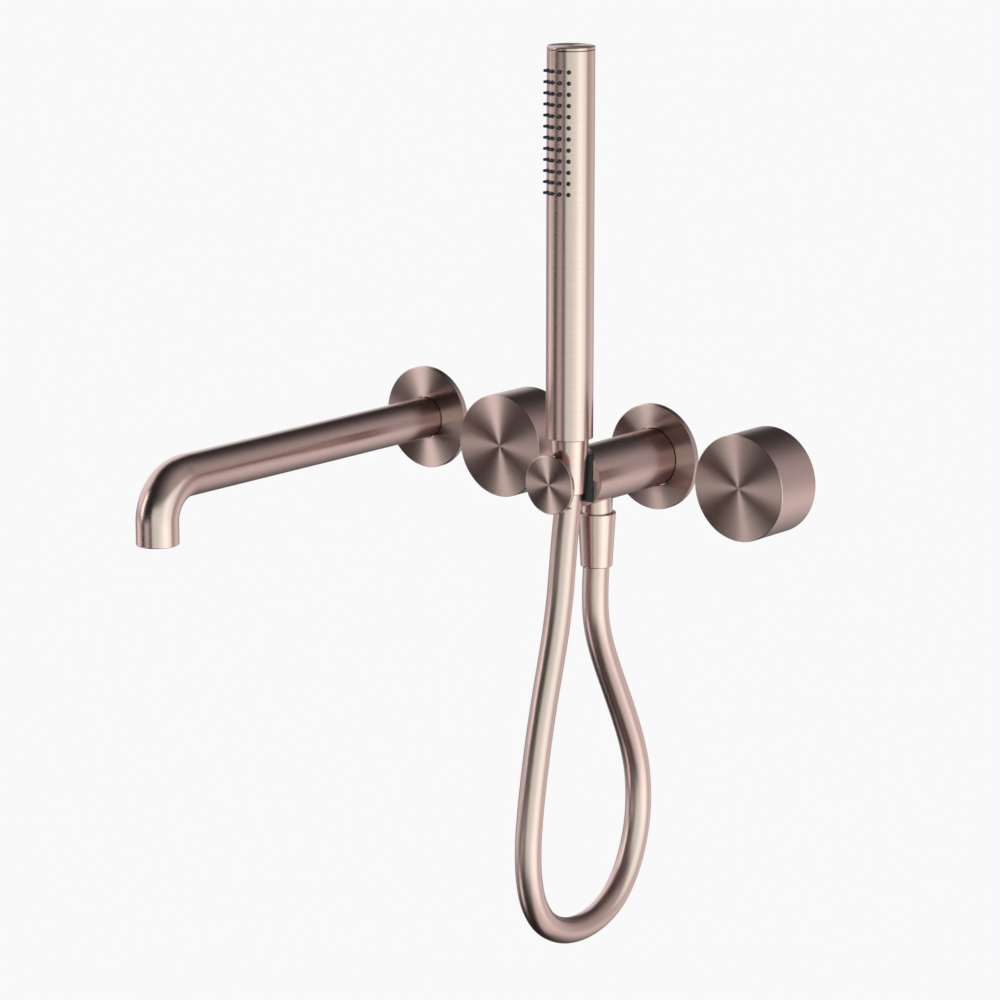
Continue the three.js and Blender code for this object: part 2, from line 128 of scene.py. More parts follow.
HOSE_R = 7
NUT_LENGTH = 29
NUT_TOP_R = 10.1
NUT_END_R = 8.4
HOSE_IN_NUT = 19.8
THREAD_R = 8.3
HANDSET_NUT_Z = box("handset_hose_nut")[1].z
OUTLET_NUT_Z = box("outlet_hose_nut")[1].z

HANDSET_R = radius_x("handset_tube")
HANDSET_LOW, HANDSET_HIGH = box("handset_tube")[0].z, box("handset_tube")[1].z
HANDSET_TOP = box("handset_cap")[1].z
NOZZLE_ROWS = 12
NOZZLE_PITCH = 5.66
NOZZLE_FIRST_Z = 150.8
NOZZLE_COLUMNS = (-34, -11.5, 11.5, 34)
NOZZLE_R = 0.85
NOZZLE_PROUD = 2.2
STRIP_HALF_ANGLE = math.radians(48)


# ---- materials -----------------------------------------------------------------------------
def principled(name, **values):
    """A new material and its shader, with the given values set on the shader's sockets."""
    material = bpy.data.materials.new(name)
    material.use_nodes = True
    shader = material.node_tree.nodes["Principled BSDF"]
    for socket, value in values.items():
        shader.inputs[socket.replace("_", " ")].default_value = value
    return material, shader


def node(tree, kind, **settings):
    made = tree.nodes.new(kind)
    for name, value in settings.items():
        setattr(made, name, value)
    return made


def streaks(tree, across, along):
    """Fine noise drawn out along the brushing: a value near 0.5, from the mesh's own UV map."""
    uv = node(tree, "ShaderNodeUVMap")
    stretch = node(tree, "ShaderNodeVectorMath", operation="MULTIPLY")
    stretch.inputs[1].default_value = (across, along, 1)
    noise = node(tree, "ShaderNodeTexNoise")
    noise.inputs["Scale"].default_value = 1
    noise.inputs["Detail"].default_value = 3
    tree.links.new(uv.outputs["UV"], stretch.inputs[0])
    tree.links.new(stretch.outputs["Vector"], noise.inputs["Vector"])
    return noise.outputs["Fac"]


def remap(tree, value, low, high):
    span = node(tree, "ShaderNodeMapRange")
    span.inputs["From Min"].default_value = 0.3
    span.inputs["From Max"].default_value = 0.7
    span.inputs["To Min"].default_value = low
    span.inputs["To Max"].default_value = high
    tree.links.new(value, span.inputs["Value"])
    return span.outputs["Result"]


def brushed(name, colour, roughness, anisotropic, grain):
    """Metal brushed round its turning axis, which is across the U direction of every mesh here."""
    material, shader = principled(name, Metallic=1.0, Anisotropic=anisotropic)
    tree = material.node_tree
    tangent = node(tree, "ShaderNodeTangent", direction_type="UV_MAP")
    tree.links.new(tangent.outputs["Tangent"], shader.inputs["Tangent"])
    lines = streaks(tree, 900, 3)
    tree.links.new(remap(tree, lines, roughness - grain, roughness + grain), shader.inputs["Roughness"])
    mix = node(tree, "ShaderNodeMix", data_type="RGBA")
    mix.inputs["A"].default_value = (*[channel * 0.95 for channel in colour], 1)
    mix.inputs["B"].default_value = (*colour, 1)
    tree.links.new(remap(tree, lines, 0, 1), mix.inputs["Factor"])
    tree.links.new(mix.outputs["Result"], shader.inputs["Base Color"])
    return material


def plain(name, colour, roughness, **values):
    """A moulded or machined material with a faint unevenness in its gloss."""
    material, shader = principled(name, Base_Color=(*colour, 1), **values)
    tree = material.node_tree
    noise = node(tree, "ShaderNodeTexNoise")
    noise.inputs["Scale"].default_value = 400
    tree.links.new(remap(tree, noise.outputs["Fac"], roughness * 0.9, roughness * 1.1),
                   shader.inputs["Roughness"])
    return material


BRONZE = (0.61, 0.425, 0.395)
MATERIALS = {
    "brushed_bronze": brushed("brushed_bronze", BRONZE, 0.25, 0.2, 0.01),
    "bronze_hose": plain("bronze_hose", BRONZE, 0.32, Metallic=1.0),
    "raw_brass": plain("raw_brass", (0.71, 0.58, 0.33), 0.3, Metallic=1.0),
    "steel": plain("steel", (0.62, 0.62, 0.63), 0.3, Metallic=1.0),
    "black_rubber": plain("black_rubber", (0.034, 0.040, 0.056), 0.6),
    "black_plastic": plain("black_plastic", (0.030, 0.035, 0.042), 0.4),
    "white_plastic": plain("white_plastic", (0.80, 0.80, 0.78), 0.45),
    "ceramic": plain("ceramic", (0.86, 0.84, 0.80), 0.2),
}
FACE_MATERIAL = brushed("brushed_bronze_face", BRONZE, 0.32, 1.0, 0.02)


# ---- mesh helpers --------------------------------------------------------------------------
class Line:
    """A straight centreline. Distances along it are measured from its origin."""

    def __init__(self, origin, direction, side=ACROSS):
        self.origin = Vector(origin)
        self.direction = Vector(direction)
        self.side = Vector(side)

    def at(self, distance):
        return self.origin + self.direction * distance, self.direction, self.side


class Route:
    """A centreline through points in a plane x = constant, as a smooth curve."""

    def __init__(self, points):
        self.points = points

    def at(self, step):
        index = min(int(step), len(self.points) - 2)
        here = self.points[index].lerp(self.points[index + 1], step - index)
        before = self.points[max(index - 1, 0)]
        after = self.points[min(index + 2, len(self.points) - 1)]
        first = self.points[index + 1] - before
        second = after - self.points[index]
        return here, first.lerp(second, step - index).normalized(), Vector(ACROSS)


class Bend:
    """The spout's centreline: out of the wall, a quarter bend and a drop."""

    def __init__(self, x, reach, bend_r):
        self.x, self.bend_r = x, bend_r
        self.straight = reach - bend_r
        self.bend = bend_r * math.pi / 2

    def at(self, distance):
        side = Vector(ACROSS)
        if distance <= self.straight:
            return Vector((self.x, -distance, 0)), Vector(OUT), side
        angle = min((distance - self.straight) / self.bend_r, math.pi / 2)
        drop = max(distance - self.straight - self.bend, 0)
        out = self.straight + self.bend_r * math.sin(angle)
        centre = Vector((self.x, -out, -self.bend_r * (1 - math.cos(angle)) - drop))
        return centre, Vector((0, -math.cos(angle), -math.sin(angle))), side


class Coil:
    """An upright helix. Distances along it are in turns."""

    def __init__(self, origin, radius, rise):
        self.origin = Vector(origin)
        self.radius = radius
        self.rise = rise

    def at(self, turn):
        angle = 2 * math.pi * turn
        side = Vector((math.cos(angle), -math.sin(angle), 0))
        around = Vector((-math.sin(angle), -math.cos(angle), 0)) * 2 * math.pi * self.radius
        along = around + Vector((0, 0, self.rise))
        here = self.origin + side * self.radius + Vector(UP) * self.rise * turn
        return here, along.normalized(), side


def from_wall(x):
    return Line((x, 0, 0), OUT)


def upward(x, out):
    return Line((x, -out, 0), UP)


ROUND_STEPS = 5
BESIDE_ROUNDING = 1.2


def softened(corners, closed):
    """The outline with each corner that has a third value rounded off over that length.

    A further point just past each end of a rounding keeps the face beside it flat.
    """
    points = []
    for i, corner in enumerate(corners):
        ends = not closed and i in (0, len(corners) - 1)
        if len(corner) < 3 or ends:
            points.append(corner[:2])
            continue
        here = Vector(corner[:2])
        to_before = (Vector(corners[i - 1][:2]) - here).normalized()
        to_after = (Vector(corners[(i + 1) % len(corners)][:2]) - here).normalized()
        first, last = here + to_before * corner[2], here + to_after * corner[2]
        points.append(tuple(here + to_before * corner[2] * BESIDE_ROUNDING))
        for step in range(ROUND_STEPS + 1):
            t = step / ROUND_STEPS
            points.append(tuple(first.lerp(here, t).lerp(here.lerp(last, t), t)))
        points.append(tuple(here + to_after * corner[2] * BESIDE_ROUNDING))
    return points


def shade_smooth(mesh):
    """Smooth shading, broken at edges sharper than 35 degrees."""
    for polygon in mesh.polygons:
        polygon.use_smooth = True
    mesh.set_sharp_from_angle(angle=math.radians(35))


def new_object(name, vertices, faces, corner_uvs=None):
    mesh = bpy.data.meshes.new(name)
    mesh.from_pydata([tuple(v * MM for v in vertex) for vertex in vertices], [], faces)
    if corner_uvs:
        layer = mesh.uv_layers.new(name="brushing")
        for loop, uv in zip(layer.data, corner_uvs):
            loop.uv = uv
    shade_smooth(mesh)
    made = bpy.data.objects.new(name, mesh)
    bpy.context.scene.collection.objects.link(made)
    return made


def turned(name, path, corners, sides=96, closed=True, thread=None):
    """A skin round a centreline from [radius, distance(, rounding)] corners, up the outside first.

    An outline that isn't closed starts and ends on the centreline. thread is (pitch, depth, from, to):
    the outer surface between those distances gets a helical groove.
    """
    outline = softened(corners, closed)
    rows = []
    vertices = []
    for radius, distance in outline:
        centre, direction, side = path.at(distance)
        other = direction.cross(side)
        if radius < 1e-6:
            rows.append([len(vertices)] * (sides + 1))
            vertices.append(centre)
            continue
        first = len(vertices)
        for j in range(sides):
            angle = 2 * math.pi * j / sides
            reach = radius
            if thread and thread[2] <= distance <= thread[3]:
                turn = (distance / thread[0] - j / sides) % 1
                reach -= thread[1] * abs(2 * turn - 1)
            vertices.append(centre + (side * math.cos(angle) + other * math.sin(angle)) * reach)
        rows.append([first + j for j in range(sides)] + [first])

    lengths = [0.0]
    order = list(range(len(outline))) + ([0] if closed else [])
    for a, b in zip(order, order[1:]):
        lengths.append(lengths[-1] + math.dist(outline[a], outline[b]))
    faces, uvs = [], []
    for k, (a, b) in enumerate(zip(order, order[1:])):
        low, high = lengths[k] * MM, lengths[k + 1] * MM
        for j in range(sides):
            corner = [(rows[a][j], low, j), (rows[a][j + 1], low, j + 1),
                      (rows[b][j + 1], high, j + 1), (rows[b][j], high, j)]
            if rows[a][j] == rows[a][j + 1]:
                corner = [(rows[a][j], low, j + 0.5), *corner[2:]]
            elif rows[b][j] == rows[b][j + 1]:
                corner = [*corner[:2], (rows[b][j], high, j + 0.5)]
            faces.append([index for index, _, _ in corner])
            uvs.extend((u, place / sides) for _, u, place in corner)
    return new_object(name, vertices, faces, uvs)


def threaded_stretch(radius, start, end, pitch):
    """Outline corners for turned() along a thread, eight to a turn."""
    step = pitch / 8
    return [[radius, start + step * i] for i in range(int((end - start) / step))]


def prism(name, path, radius, low, high, sides=6):
    """A solid hexagonal or round bar along a centreline."""
    return turned(name, path, [[0, low], [radius, low], [radius, high], [0, high]], sides, closed=False)


def block(name, low, high):
    (x0, y0, z0), (x1, y1, z1) = low, high
    vertices = [(x, y, z) for x in (x0, x1) for y in (y0, y1) for z in (z0, z1)]
    faces = [(0, 1, 3, 2), (4, 6, 7, 5), (0, 4, 5, 1), (2, 3, 7, 6), (0, 2, 6, 4), (1, 5, 7, 3)]
    return new_object(name, vertices, faces, [(0, 0)] * 24)


def joined(name, objects):
    """One object from several that don't overlap."""
    with bpy.context.temp_override(active_object=objects[0], selected_editable_objects=objects):
        bpy.ops.object.join()
    objects[0].name = name
    return objects[0]


def carved(body, tools, operation="DIFFERENCE"):
    """The body after the tools are taken from it, which are used up."""
    for tool in tools:
        step = body.modifiers.new("carve", "BOOLEAN")
        step.operation = operation
        step.solver = "EXACT"
        step.object = tool
    bpy.context.view_layer.update()
    evaluated = body.evaluated_get(bpy.context.evaluated_depsgraph_get())
    mesh = bpy.data.meshes.new_from_object(evaluated)
    body.modifiers.clear()
    body.data = mesh
    for tool in tools:
        bpy.data.objects.remove(tool)
    shade_smooth(mesh)
    return body


def true_round(made, path, radius):
    """Exact normals where the mesh lies on the cylinder of that radius, whatever was cut out of it."""
    origin, direction, _ = path.at(0)
    mesh = made.data
    normals = [Vector((0, 0, 0))] * len(mesh.loops)
    for polygon in mesh.polygons:
        for index in polygon.loop_indices:
            away = mesh.vertices[mesh.loops[index].vertex_index].co / MM - origin
            away -= direction * away.dot(direction)
            if abs(away.length - radius) < 0.01 and polygon.normal.dot(away.normalized()) > 0.98:
                normals[index] = away.normalized()
    mesh.normals_split_custom_set(normals)
    return made


def show(cad_node, made, slot, face_axis=None):
    """Shows a piece in place of a CAD node, on the same body.

    Faces square to face_axis get the wider sheen of metal that was faced off on a lathe.
    """
    made.name = f"{cad_node}_fine"
    made.data.materials.clear()
    made.data.materials.append(MATERIALS[slot])
    if face_axis:
        made.data.materials.append(FACE_MATERIAL)
        for polygon in made.data.polygons:
            polygon.material_index = int(abs(polygon.normal.dot(Vector(face_axis))) > 0.95)
    if "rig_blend" not in made:
        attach(made, BODY_OF[cad_node])
    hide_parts(cad_node)
    return made


# ---- camera --------------------------------------------------------------------------------
def add_camera():
    """Sees the row from the right and a little above."""
    azimuth, elevation = math.radians(39.9), math.radians(13.185)
    distance = 2.1187
    target = Vector((-0.06957, 0, -0.04087))
    back = Vector((math.sin(azimuth) * math.cos(elevation), -math.cos(azimuth) * math.cos(elevation),
                   math.sin(elevation)))
    data = bpy.data.cameras.new("camera")
    data.lens = 137.57
    data.sensor_width = 36
    data.dof.use_dof = False
    camera = bpy.data.objects.new("camera", data)
    camera.location = target + back * distance
    camera.rotation_euler = back.to_track_quat("Z", "Y").to_euler()
    bpy.context.scene.collection.objects.link(camera)
    bpy.context.scene.camera = camera


# ---- hose ----------------------------------------------------------------------------------
# The route in (y, z). Its lowest three points are a little above the coarser CAD hose's, so that the
# round skin stays inside the CAD box.
HOSE_ROUTE = [
    (-OUTLET_OUT, OUTLET_NUT_Z - HOSE_IN_NUT), (-52, -50), (-52.5, -58), (-52.7, -68), (-51.9, -79),
    (-48.9, -91), (-43.2, -105), (-35, -122), (-27.3, -138), (-20.5, -154), (-16, -169), (-14.2, -184),
    (-15.1, -200), (-19.1, -215), (-26, -228.5), (-36.2, -239.4), (-49.5, -245.9), (-65, -248.1),
    (-80.5, -245.4), (-94.2, -237.3), (-103.2, -224.6), (-107.3, -209), (-108, -192), (-106.4, -175),
    (-103.6, -157), (-99.6, -136), (-95, -116), (-90, -97), (-85.8, -80), (-82.4, -62), (-80.4, -46),
    (-78.6, -31), (-77, -20), (-75.6, -11), (-75, -4), (-SEAT_OUT, HANDSET_NUT_Z - HOSE_IN_NUT),
]
HOSE_FINENESS = 8


def smooth_route(points, fineness):
    """Catmull-Rom curve through the points."""
    ends = [2 * points[0] - points[1], *points, 2 * points[-1] - points[-2]]
    fine = []
    for p0, p1, p2, p3 in zip(ends, ends[1:], ends[2:], ends[3:]):
        for step in range(fineness):
            t = step / fineness
            fine.append(0.5 * (2 * p1 + (p2 - p0) * t + (2 * p0 - 5 * p1 + 4 * p2 - p3) * t**2
                               + (3 * p1 - p0 - 3 * p2 + p3) * t**3))
    return [*fine, points[-1]]


def make_hose():
    points = smooth_route([Vector((ARM_X, y, z)) for y, z in HOSE_ROUTE], HOSE_FINENESS)
    steps = range(len(points))
    corners = [[0, 0], *[[HOSE_R, step] for step in steps], [0, len(points) - 1]]
    hose = turned("hose_fine", Route(points), corners, sides=48, closed=False)
    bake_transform(hose, "root", "hose_end", start=(0.04, -0.0144, 0.0108), end=(0.04, -0.044, 0.033))
    show("hose", hose, "bronze_hose")
    length = sum((b - a).length for a, b in zip(points, points[1:])) * MM
    print(f"hose centreline {length:.4f} m")
    return hose, [tuple(point * MM) for point in points]


def make_hose_end(prefix, top_z, out):
    """Conical nut, washer and ferrule, whose open end is at top_z."""
    path = Line((ARM_X, -out, top_z), UP)
    throat_r = HOSE_R + 0.7
    pieces = [show(f"{prefix}_nut", turned("nut", path, [
        [throat_r, -NUT_LENGTH, 0.3], [NUT_END_R, -NUT_LENGTH, 0.5], [NUT_TOP_R, 0, 0.4],
        [THREAD_R + GAP, 0, 0.3], [THREAD_R + GAP, -9], [throat_r, -9],
    ]), "brushed_bronze")]
    pieces.append(show(f"{prefix}_washer", turned("washer", path, [
        [4.5, -6.7, 0.2], [8.2, -6.7, 0.2], [8.2, -5, 0.2], [4.5, -5, 0.2],
    ], 48), "black_rubber"))
    pieces.append(show(f"{prefix}_ferrule", turned("ferrule", path, [
        [4, -19.5], [HOSE_R, -19.5], [HOSE_R, -8.7], [8.3, -8.7, 0.2], [8.3, -7, 0.2], [4, -7],
    ], 48), "raw_brass"))
    return pieces


# ---- wall fixings --------------------------------------------------------------------------
def torus(path, centre_r, tube_r, distance):
    steps = 12
    corners = []
    for i in range(steps):
        angle = 2 * math.pi * i / steps
        corners.append([centre_r + tube_r * math.sin(angle), distance - tube_r * math.cos(angle)])
    return turned("o_ring", path, corners, 64)


def grub_screw(radius, x, out, tip_z, end_z):
    """A headless socket screw, its tip at the top and its hexagon socket at the bottom."""
    path = upward(x, out)
    body = turned("grub_screw", path, [
        [0, end_z], [radius, end_z, 0.3], [radius, tip_z, 0.4], [0, tip_z],
    ], 32, closed=False)
    socket = prism("socket", path, radius * 0.55, end_z - 1, end_z + 1.5)
    return carved(body, [socket])


def make_flange(prefix, x, pipe_r):
    path = from_wall(x)
    bore = pipe_r + GAP
    ring_r = 0.9
    ring_centre = pipe_r + 0.2 + ring_r
    groove_r = ring_centre + ring_r + 0.3
    low, high = FLANGE_BACK + 0.45, FLANGE_FRONT - 0.45
    show(f"{prefix}_gasket", turned("gasket", path, [
        [pipe_r + 2, 0, 0.2], [FLANGE_R - 1.5, 0, 0.2], [FLANGE_R - 1.5, 0.8, 0.2],
        [pipe_r + 2, 0.8, 0.2],
    ]), "black_rubber")
    show(f"{prefix}_flange", turned("flange", path, [
        [bore, FLANGE_BACK], [FLANGE_R, FLANGE_BACK, 0.3], [FLANGE_R, FLANGE_FRONT, 0.5],
        [bore, FLANGE_FRONT, 0.3], [bore, high], [groove_r, high], [groove_r, low], [bore, low],
    ], 192), "brushed_bronze", OUT)
    show(f"{prefix}_flange_oring", torus(path, ring_centre, ring_r, (low + high) / 2), "black_rubber")


def make_nipple(prefix, x):
    """Half inch threaded nipple with the smooth spigot that the fitting slides over."""
    path = from_wall(x)
    behind = box(f"{prefix}_nipple")[1].y
    pitch, thread_r, thread_end = 1.814, 10.4, -5
    threaded = threaded_stretch(thread_r, -behind + 0.6, thread_end, pitch)
    show(f"{prefix}_nipple", turned("nipple", path, [
        [5, -behind, 0.4], [9.4, -behind], *threaded, [thread_r, thread_end + 0.1], [thread_r, -4],
        [8.4, -4], [8.4, 10], [7.6, 10], [7.6, 14], [8.4, 14], [8.4, 17], [6.6, 17], [6.6, 19.6],
        [8.4, 19.6], [8.4, 25], [7.6, 26], [5, 26, 0.4],
    ], 64, thread=(pitch, 1.1, -behind + 0.5, thread_end)), "raw_brass")
    show(f"{prefix}_nipple_oring", torus(path, 7.75, 0.8, 18.3), "black_rubber")


# ---- bath spout ----------------------------------------------------------------------------
def make_spout():
    path = Bend(SPOUT_X, SPOUT_REACH, SPOUT_BEND_R)
    start = FLANGE_BACK + 0.2
    end = path.straight + path.bend + SPOUT_DROP - SPOUT_BEND_R
    inner = SPOUT_R - PIPE_WALL
    bend_steps = 48
    stations = [path.straight + path.bend * i / bend_steps for i in range(bend_steps + 1)]
    pipe = turned("spout", path, [
        [inner, start], [SPOUT_R, start, 0.3], [SPOUT_R, 30], *[[SPOUT_R, s] for s in stations],
        [SPOUT_R, end, 0.5], [inner, end, 0.5], *[[inner, s] for s in reversed(stations)],
    ], 128)
    hole = prism("hole", upward(SPOUT_X, SCREW_OUT), SCREW_HOLE_R, -SPOUT_R - 3, -SPOUT_R + 4, 32)
    show("spout_tube", carved(pipe, [hole]), "brushed_bronze")
    make_flange("spout", SPOUT_X, SPOUT_R)
    make_nipple("spout", SPOUT_X)
    show("spout_grub_screw", grub_screw(SCREW_R, SPOUT_X, SCREW_OUT, SCREW_TIP_Z, -11), "steel")

    outlet = Line((SPOUT_X, -SPOUT_REACH, -SPOUT_DROP), UP)
    show("aerator_housing", turned("housing", outlet, [
        [8.1, 0.5, 0.3], [inner - GAP, 0.5, 0.3], [inner - GAP, 8], [6.6, 8], [6.6, 7], [8.1, 7],
    ]), "black_plastic")
    core = turned("core", outlet, [[0, 1.1], [7.8, 1.1, 0.3], [7.8, 5.6], [0, 5.6]], closed=False)
    drill_r = 0.75
    drills = [prism("drill", outlet, drill_r, -1, 7, 16)]
    for count, distance in ((6, 2.6), (8, 5.4)):
        for i in range(count):
            angle = 2 * math.pi * i / count
            origin = (SPOUT_X + distance * math.cos(angle), -SPOUT_REACH + distance * math.sin(angle),
                      -SPOUT_DROP)
            drills.append(prism("drill", Line(origin, UP), drill_r, -1, 7, 16))
    show("aerator_core", carved(core, [joined("drills", drills)]), "white_plastic")


# ---- mixers --------------------------------------------------------------------------------
def make_mixer(number):
    name = f"mixer_{number}_"
    x = middle_x(name + "knob")
    path = from_wall(x)
    sleeve_back = -box(name + "valve_sleeve")[1].y
    show(name + "gasket", turned("gasket", path, [
        [17.6, 0, 0.2], [20.6, 0, 0.2], [20.6, 0.8, 0.2], [17.6, 0.8, 0.2],
    ]), "black_rubber")
    show(name + "trim_ring", turned("trim", path, [
        [17.6, FLANGE_BACK, 0.2], [21, FLANGE_BACK, 0.3], [21, 6, 0.3], [17.6, 6, 0.2],
    ], 128), "brushed_bronze")
    show(name + "valve_sleeve", turned("sleeve", path, [
        [14.2, sleeve_back, 0.3], [17.2, sleeve_back, 0.4], [17.2, 4.5, 0.3], [14.2, 4.5, 0.3],
    ]), "raw_brass")
    show(name + "cartridge_body", turned("cartridge", path, [
        [10.6, -4.6, 0.3], [13.9, -4.6, 0.4], [13.9, 4.5], [12, 4.5], [12, 10.4, 0.3], [4.5, 10.4, 0.3],
        [4.5, 7.2], [10.6, 7.2],
    ]), "black_plastic")

    disc = turned("disc", path, [
        [0, -4.3], [10.3, -4.3, 0.2], [10.3, -1.3, 0.2], [0, -1.3],
    ], closed=False)
    ports = [prism("port", Line((x, 0, z), OUT), 2.4, -7, 2, 32) for z in (-4.6, 4.6)]
    show(name + "fixed_disc", carved(disc, ports), "ceramic")

    knob = turned("knob", path, [
        [22, KNOB_BACK, 0.3], [KNOB_R, KNOB_BACK, 0.5], [KNOB_R, KNOB_FRONT, 0.5], [0, KNOB_FRONT],
        [0, 30.2], [9.5, 30.2], [9.5, 17], [22, 17],
    ], 256)
    hole = prism("hole", upward(x, KNOB_SCREW_OUT), 2.7, -KNOB_R - 3, -KNOB_R + 19, 32)
    show(name + "knob", true_round(carved(knob, [hole]), path, KNOB_R), "brushed_bronze", OUT)
    show(name + "grub_screw", grub_screw(2.4, x, KNOB_SCREW_OUT, -9.6, -16.6), "steel")


# ---- handset arm, holder and hose outlet ---------------------------------------------------
def make_arm():
    make_flange("arm", ARM_X, ARM_R)
    make_nipple("arm", ARM_X)
    path = from_wall(ARM_X)
    start = FLANGE_BACK + 0.2
    past = ARM_R + 3
    bar = turned("bar", path, [
        [0, start], [ARM_R, start, 0.3], *[[ARM_R, s] for s in range(4, int(ARM_LENGTH), 4)],
        [ARM_R, ARM_LENGTH, 0.5], [0, ARM_LENGTH],
    ], 256, closed=False)
    hose_gap = HOSE_R + 1.4
    hose_out = SEAT_OUT + 0.6
    tools = [
        prism("tool", path, 8.7, 0, 27, 64),
        prism("tool", path, 5, 20, OUTLET_OUT + 5, 48),
        prism("tool", upward(ARM_X, OUTLET_OUT), THREAD_R + GAP, -past, -4, 96),
        prism("tool", upward(ARM_X, SEAT_OUT), SEAT_BORE_R, SEAT_FLOOR_Z, past, 128),
        block("tool", (ARM_X, -MOUTH_FRONT, SEAT_FLOOR_Z), (ARM_X + past, -MOUTH_REAR, past)),
        prism("tool", upward(ARM_X, hose_out), hose_gap, -past, 0, 96),
        block("tool", (ARM_X, -hose_out - hose_gap, -past), (ARM_X + past, -hose_out + hose_gap, 0)),
        prism("tool", upward(ARM_X, SCREW_OUT), SCREW_HOLE_R, -past, -8, 32),
    ]
    show("holder_arm", true_round(carved(bar, tools), path, ARM_R), "brushed_bronze", OUT)
    show("arm_grub_screw", grub_screw(SCREW_R, ARM_X, SCREW_OUT, SCREW_TIP_Z, -14.6), "steel")

    def nut_r(z):
        return NUT_TOP_R + (NUT_END_R - NUT_TOP_R) * (HANDSET_NUT_Z - z) / NUT_LENGTH

    low, high = SEAT_FLOOR_Z + GAP, LINER_TOP_Z
    outer = SEAT_BORE_R - GAP
    seat = turned("seat", upward(ARM_X, SEAT_OUT), [
        [nut_r(low) + GAP, low], [outer, low], [outer, high], [nut_r(high) + GAP, high],
    ], 192)
    envelope = prism("envelope", path, ARM_R - GAP, SEAT_OUT - 20, SEAT_OUT + 20, 192)
    carved(seat, [envelope], "INTERSECT")
    hose_way = -SEAT_OUT - 8
    mouth = block("mouth", (ARM_X, hose_way, -past), (ARM_X + past, -MOUTH_REAR, past))
    front_mouth = block("mouth", (MOUTH_EDGE_X, -MOUTH_FRONT, -past),
                        (ARM_X + past, hose_way + 0.1, past))
    show("seat_liner", carved(seat, [mouth, front_mouth]), "black_plastic")

    below = upward(ARM_X, OUTLET_OUT)
    nipple_end = OUTLET_NUT_Z - 4.7
    pitch = 1.337
    threaded = threaded_stretch(THREAD_R, nipple_end + 0.4, -4.4, pitch)
    show("outlet_nipple", turned("nipple", below, [
        [6.8, nipple_end], [THREAD_R - 0.8, nipple_end], *threaded, [THREAD_R, -4.4], [5.4, -4.4],
        [5.4, -5.7], [6.8, -5.7],
    ], 64, thread=(pitch, 0.7, nipple_end + 0.3, OUTLET_NUT_Z - 1)), "brushed_bronze")

    foot, head, turns, wire = -18.9, -10.6, 4, 0.3
    coil = Coil((ARM_X, -OUTLET_OUT, foot), 2.75, (head - foot) / turns)
    skin = [[wire, turns * i / 96] for i in range(97)]
    spring = turned("spring", coil, [[0, 0], *skin, [0, turns]], 12, closed=False)
    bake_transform(spring, "root", "poppet", start=(ARM_X * MM, -OUTLET_OUT * MM, (foot - wire) * MM),
             end=(ARM_X * MM, -OUTLET_OUT * MM, (head + wire) * MM))
    show("check_valve_spring", spring, "steel")


# ---- handset -------------------------------------------------------------------------------
def make_handset():
    path = upward(ARM_X, SEAT_OUT)
    inner = HANDSET_R - PIPE_WALL
    nozzles = []
    for row in range(NOZZLE_ROWS):
        for column in NOZZLE_COLUMNS:
            angle = math.radians(column)
            origin = (ARM_X, -SEAT_OUT, NOZZLE_FIRST_Z + row * NOZZLE_PITCH)
            nozzles.append(Line(origin, (math.sin(angle), -math.cos(angle), 0), side=UP))

    plate_low = NOZZLE_FIRST_Z - 4
    plate_high = NOZZLE_FIRST_Z + (NOZZLE_ROWS - 1) * NOZZLE_PITCH + 3
    levels = [plate_low + 2 * i for i in range(int((plate_high - plate_low) / 2) + 1)]
    tube = turned("tube", path, [
        [inner, HANDSET_LOW], [HANDSET_R, HANDSET_LOW, 0.4], *[[HANDSET_R, z] for z in levels],
        [HANDSET_R, HANDSET_HIGH, 0.25], [inner, HANDSET_HIGH],
    ], 256)
    holes = [prism("hole", nozzle, NOZZLE_R + GAP, inner - 2, HANDSET_R + 2, 24) for nozzle in nozzles]
    tube = carved(tube, [joined("holes", holes)])
    show("handset_tube", true_round(tube, path, HANDSET_R), "brushed_bronze")

    strip_in, strip_out = inner - 2, inner - GAP
    strip = turned("strip", path, [
        [strip_in, plate_low], [strip_out, plate_low], [strip_out, plate_high], [strip_in, plate_high],
    ], 128)
    outwards = strip_out + 2
    half = outwards * math.sin(STRIP_HALF_ANGLE)
    keep = block("keep", (ARM_X - half, -SEAT_OUT - outwards, plate_low - 1),
                 (ARM_X + half, -SEAT_OUT - strip_in * math.cos(STRIP_HALF_ANGLE), plate_high + 1))
    carved(strip, [keep], "INTERSECT")
    tip = HANDSET_R + NOZZLE_PROUD
    teats = [turned("teat", nozzle, [
        [0, inner - 1], [NOZZLE_R, inner - 1], [NOZZLE_R, HANDSET_R], [NOZZLE_R * 0.86, tip, 0.35],
        [0.45, tip, 0.1], [0.4, tip - 0.8], [0, tip - 0.8],
    ], 24, closed=False) for nozzle in nozzles]
    show("nozzle_strip", joined("nozzles", [strip, *teats]), "black_rubber")

    high = HANDSET_HIGH
    show("handset_cap", turned("cap", path, [
        [0, high - 5], [inner - 2, high - 5], [inner - 2, high - 3.6], [inner - GAP, high - 3.6],
        [inner - GAP, high + GAP], [HANDSET_R, high + GAP, 0.25], [HANDSET_R, HANDSET_TOP, 0.5],
        [0, HANDSET_TOP],
    ], 192, closed=False), "brushed_bronze", UP)


# ---- studio --------------------------------------------------------------------------------
WHITE = (1, 1, 1)
BACKDROP = (0.947, 0.947, 0.947, 1)


